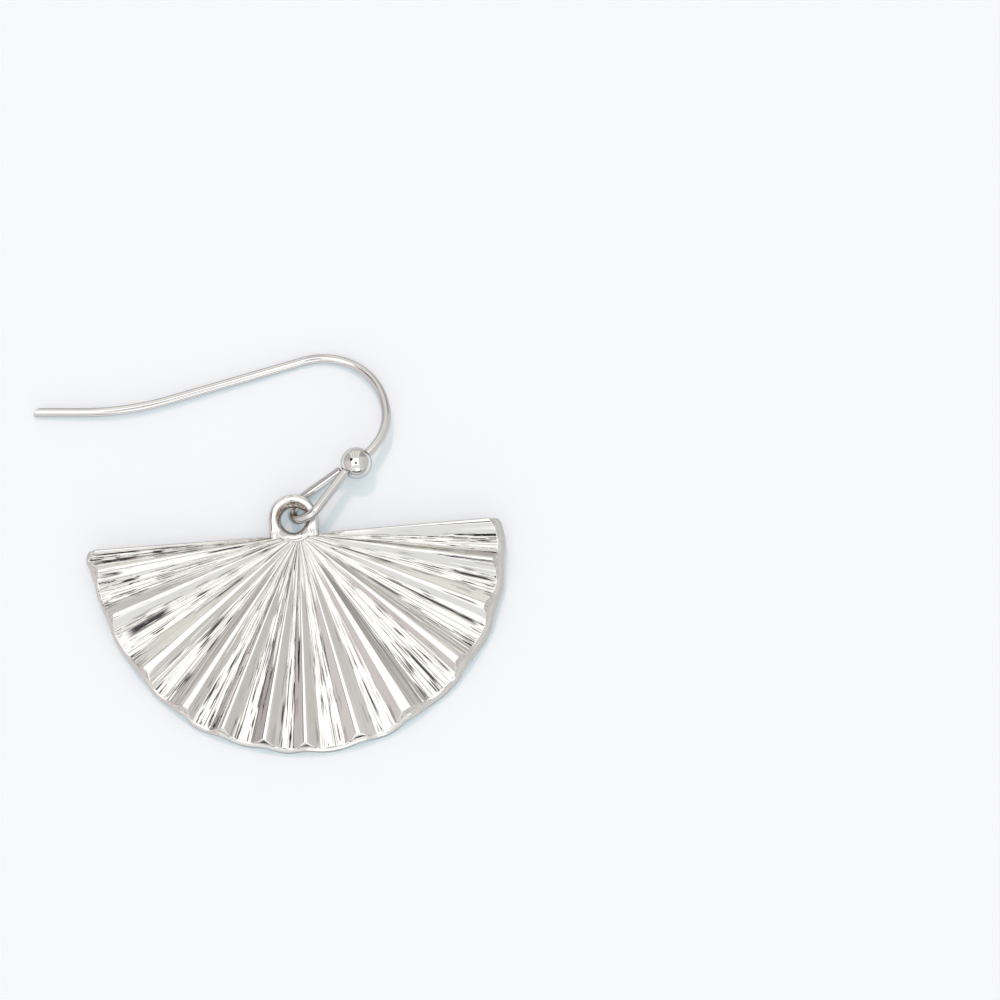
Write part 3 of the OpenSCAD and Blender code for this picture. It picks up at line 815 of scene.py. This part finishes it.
def makeWire():
    points = [toFrame(p) for p in pose["path"]]
    mesh = bpy.data.meshes.new("earWire")
    mesh.from_pydata(points, [(i, i + 1) for i in range(len(points) - 1)], [])
    obj = bpy.data.objects.new("earWire", mesh)
    bpy.context.scene.collection.objects.link(obj)
    sizes = {"Radius": lie["wireR"] * mm, "Sides": wire["sides"], "Material": wireSilver}
    bakeNodes(obj, makeWireTree(), sizes)
    bm = bmesh.new()
    bm.from_mesh(obj.data)
    bmesh.ops.remove_doubles(bm, verts=bm.verts, dist=wire["weld"])
    tip = points[-1]
    side = pose["hookUp"].cross(pose["tailDir"])
    slant = math.radians(lie["tipSlant"])
    cutDir = (pose["tailDir"] * math.cos(slant) - side * math.sin(slant)).normalized()
    cutAt = tip - pose["tailDir"] * lie["wireR"] * mm * math.tan(slant)
    everything = bm.verts[:] + bm.edges[:] + bm.faces[:]
    cut = bmesh.ops.bisect_plane(bm, geom=everything, plane_co=cutAt, plane_no=cutDir, clear_outer=True)
    rim = [e for e in cut["geom_cut"] if isinstance(e, bmesh.types.BMEdge)]
    bmesh.ops.holes_fill(bm, edges=rim)
    bmesh.ops.recalc_face_normals(bm, faces=bm.faces)
    edges = {e for f in bm.faces if len(f.verts) > wire["sides"] / 2 for e in f.edges}
    offset = wire["tipRound"] * mm
    bmesh.ops.bevel(bm, geom=list(edges), offset=offset, segments=3, profile=0.5, affect="EDGES")
    bm.to_mesh(obj.data)
    bm.free()
    smoothFaces(obj.data, wire["sharpFrom"])
    return obj


earWire = makeWire()
print("wire made,", len(earWire.data.polygons), "faces")

# The drilled bead on the stem
bead = {"clear": 0.06, "lip": 0.05, "around": 96, "along": 64, "sharpFrom": 35}


def makeBead():
    ballR = lie["beadD"] / 2
    holeR = lie["wireR"] + bead["clear"]
    lip = bead["lip"]
    mouth = math.asin((holeR + lip) / ballR)
    profile = [
        (ballR * math.cos(a), ballR * math.sin(a))
        for a in np.linspace(mouth, math.pi - mouth, bead["along"])
    ]
    endX = ballR * math.cos(math.asin(holeR / ballR)) - lip
    profile += [(-endX, holeR), (endX, holeR)]
    axis = pose["stemDir"]
    across = axis.orthogonal().normalized()
    third = axis.cross(across)
    verts, faces = [], []
    m, n = len(profile), bead["around"]
    for i in range(n):
        a = 2 * math.pi * i / n
        out = across * math.cos(a) + third * math.sin(a)
        for x, r in profile:
            verts.append(toFrame(pose["beadAt"] + axis * x + out * r))
    for i in range(n):
        for j in range(m):
            a, b = i * m + j, i * m + (j + 1) % m
            c, d = ((i + 1) % n) * m + (j + 1) % m, ((i + 1) % n) * m + j
            faces.append((a, b, c, d))
    obj = makeObject("earBead", verts, faces, bead["sharpFrom"])
    bm = bmesh.new()
    bm.from_mesh(obj.data)
    bmesh.ops.recalc_face_normals(bm, faces=bm.faces)
    bm.to_mesh(obj.data)
    bm.free()
    obj.data.materials.append(beadSilver)
    return obj


earBead = makeBead()
print("bead made,", len(earBead.data.polygons), "faces")

for piece, node, finish in (
    (fanSheet, "fan_drop", "cast_silver"), (fanEye, "fan_drop", "cast_silver"),
    (earWire, "ear_wire", "wire_silver"), (earBead, "bead", "bead_silver"),
):
    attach(piece, "root")
    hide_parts(node)

# The floor, the light and the camera
studio = {
    "floor": 1.2, "floorColour": (0.93, 0.94, 0.955, 1), "glow": (0.056, 0.115, 0.14, 1),
    "slant": (0.72, 0.8), "slantReflectionColour": (0.52, 0.51, 0.5, 1), "slantReflectionGlow": (0.08, 0.08, 0.08, 1),
    "skyStrength": 1.0, "sunStrength": 0.5, "sunColour": (1.0, 0.6, 0.55), "sunLean": 23, "sunFrom": 104,
    "sunSoft": 5, "floorRoughness": 0.9, "floorGloss": 0.1,
}


# A pale sheet. Where the metal mirrors it at a low slant, it is painted as grey as the room: a painted
# reflection
def makeFloor():
    half = studio["floor"] / 2
    corners = [(-half, -half, 0), (half, -half, 0), (half, half, 0), (-half, half, 0)]
    obj = makeObject("floor", corners, [(0, 1, 2, 3)])
    mat = bpy.data.materials.new("paleFloor")
    mat.use_nodes = True
    tree = mat.node_tree
    shader = tree.nodes["Principled BSDF"]
    slant = addNode(tree, "ShaderNodeLayerWeight", None, Blend=0.5).outputs["Facing"]
    mirrored = addNode(tree, "ShaderNodeLightPath").outputs["Is Glossy Ray"]
    low = calc(tree, "MULTIPLY", remap(tree, slant, *studio["slant"]), mirrored)
    colours = (("Base Color", "floorColour", "slantReflectionColour"), ("Emission Color", "glow", "slantReflectionGlow"))
    for socket, plain, slanted in colours:
        mix = addNode(tree, "ShaderNodeMix", {"data_type": "RGBA"}, Factor=low)
        mix.inputs[6].default_value = studio[plain]
        mix.inputs[7].default_value = studio[slanted]
        tree.links.new(mix.outputs[2], shader.inputs[socket])
    shader.inputs["Roughness"].default_value = studio["floorRoughness"]
    shader.inputs["Specular IOR Level"].default_value = studio["floorGloss"]
    shader.inputs["Emission Strength"].default_value = 1.0
    obj.data.materials.append(mat)


# What the metal mirrors: soft-edged windows of the sky by its x and y, each row over the ones before
skyColumns = ("left", "right", "near", "far", "soft", "colour")
skyWindows = {
    "rightDoor": (0.5, 0.72, -1.5, 1.5, 0.06, (0.7, 0.69, 0.67, 1)),
    "leftFarWall": (-1.5, -0.5, 0.25, 1.5, 0.15, (0.49, 0.45, 0.45, 1)),
    "rightFarWall": (0.45, 1.5, 0.5, 1.5, 0.08, (0.37, 0.365, 0.355, 1)),
    "farBlind": (-0.55, 0.4, 0.45, 1.5, 0.06, (0.62, 0.61, 0.595, 1)),
    "nearWall": (-0.6, 0.42, -1.5, -0.4, 0.08, (0.83, 0.855, 0.84, 1)),
    "overhead": (-0.58, 0.38, -0.52, 0.37, 0.06, (1.28, 1.28, 1.28, 1)),
    "nearLamp": (-0.1, 0.33, -1.5, -0.82, 0.05, (1.3, 1.3, 1.3, 1)),
}
# Dark spots in it: the direction of each, and the degrees from there at which it is full and gone
skySpots = {
    "lens": {"way": (-0.0234, -0.2746, 0.9613), "full": 7.0, "gone": 9.0},
    "farShade": {"way": (-0.541, 0.239, 0.808), "full": 9.0, "gone": 12.0},
}
skyRoom = {
    "left": (0.7, 0.655, 0.65, 1), "right": (0.61, 0.6, 0.58, 1), "dark": (0.03, 0.03, 0.032, 1),
    "stripe": (0.86, 0.85, 0.8, 1), "stripes": 26.0,
    "tableEdge": {"low": -0.05, "high": 0.15, "soft": 0.03, "from": -0.82, "to": -0.93},
    "leftToRight": (-0.6, 0.5), "stripeEdges": (-0.6, 0.4),
}


# The room that the metal mirrors: a light overhead, walls, a striped blind, the lens and a dark table edge
def makeSky():
    world = bpy.data.worlds.new("studio")
    bpy.context.scene.world = world
    world.use_nodes = True
    tree = world.node_tree
    back = tree.nodes["Background"]
    way = addNode(tree, "ShaderNodeTexCoord").outputs["Generated"]
    x, y, z = addNode(tree, "ShaderNodeSeparateXYZ", None, Vector=way).outputs

    def lay(under, over, mask):
        mix = addNode(tree, "ShaderNodeMix", {"data_type": "RGBA"}, Factor=mask)
        for place, value in ((6, under), (7, over)):
            if isinstance(value, bpy.types.NodeSocket):
                tree.links.new(value, mix.inputs[place])
            else:
                mix.inputs[place].default_value = value
        return mix.outputs[2]

    def within(value, low, high, soft):
        past = remap(tree, value, low - soft, low + soft)
        short = remap(tree, value, high - soft, high + soft, 1.0, 0.0)
        return calc(tree, "MULTIPLY", past, short)

    colour = lay(skyRoom["left"], skyRoom["right"], remap(tree, x, *skyRoom["leftToRight"]))
    for name, row in skyWindows.items():
        window = dict(zip(skyColumns, row))
        soft = window["soft"]
        across = within(x, window["left"], window["right"], soft)
        along = within(y, window["near"], window["far"], soft)
        mask = calc(tree, "MULTIPLY", across, along)
        paint = window["colour"]
        if name == "farBlind":
            wave = calc(tree, "SINE", calc(tree, "MULTIPLY", x, skyRoom["stripes"]))
            paint = lay(paint, skyRoom["stripe"], remap(tree, wave, *skyRoom["stripeEdges"]))
        colour = lay(colour, paint, mask)
    for spot in skySpots.values():
        dot = addNode(tree, "ShaderNodeVectorMath", {"operation": "DOT_PRODUCT"}, i0=way, i1=spot["way"])
        near = dot.outputs["Value"]
        gone, full = [math.cos(math.radians(spot[key])) for key in ("gone", "full")]
        colour = lay(colour, skyRoom["dark"], remap(tree, near, gone, full))
    edge = skyRoom["tableEdge"]
    level = within(z, edge["low"], edge["high"], edge["soft"])
    strip = calc(tree, "MULTIPLY", level, remap(tree, y, edge["from"], edge["to"]))
    colour = lay(colour, skyRoom["dark"], strip)
    tree.links.new(colour, back.inputs["Color"])
    back.inputs["Strength"].default_value = studio["skyStrength"]


def makeSun():
    light = bpy.data.lights.new("keyLight", "SUN")
    light.energy = studio["sunStrength"]
    light.angle = math.radians(studio["sunSoft"])
    light.color = studio["sunColour"]
    obj = bpy.data.objects.new("keyLight", light)
    lean, fromWay = math.radians(studio["sunLean"]), math.radians(studio["sunFrom"])
    away = math.sin(lean)
    source = Vector((away * math.cos(fromWay), away * math.sin(fromWay), math.cos(lean)))
    obj.rotation_euler = source.to_track_quat("Z", "Y").to_euler()
    obj.visible_glossy = False  # the metal mirrors the sky alone
    bpy.context.scene.collection.objects.link(obj)


# The photograph's own view: long lens, steep from the front, the meeting point at its place in the picture
shot = {
    "elevation": 74.0, "turn": 4.88, "pixelsPerMm": 11.24, "focalPixels": 3000.0, "frame": 1000.0,
    "meetingPixel": (299.0, 533.0), "meetingHeight": 1.9, "sensor": 36.0,
}


def makeCamera():
    lift, turn = math.radians(shot["elevation"]), math.radians(shot["turn"])
    right = Vector((math.cos(turn), -math.sin(turn), 0))
    ahead = Vector((math.sin(turn), math.cos(turn), 0))
    view = ahead * math.cos(lift) - Vector((0, 0, math.sin(lift)))
    up = right.cross(view)
    far = shot["focalPixels"] / shot["pixelsPerMm"]
    offX = (shot["meetingPixel"][0] - shot["frame"] / 2) / shot["pixelsPerMm"]
    offY = (shot["frame"] / 2 - shot["meetingPixel"][1]) / shot["pixelsPerMm"]
    meeting = Vector((0, 0, shot["meetingHeight"])) + shift
    place = (meeting - view * far - right * offX - up * offY) * mm
    lens = bpy.data.cameras.new("camera")
    lens.sensor_width = shot["sensor"]
    lens.lens = shot["focalPixels"] / shot["frame"] * shot["sensor"]
    lens.clip_start, lens.clip_end = 0.005, 20
    obj = bpy.data.objects.new("camera", lens)
    spin = Matrix((right, up, -view)).transposed()
    obj.matrix_world = Matrix.Translation(place) @ spin.to_4x4()
    bpy.context.scene.collection.objects.link(obj)
    bpy.context.scene.camera = obj


makeFloor()
makeSky()
makeSun()
makeCamera()
bpy.context.scene.view_settings.view_transform = "Standard"
print("studio made")
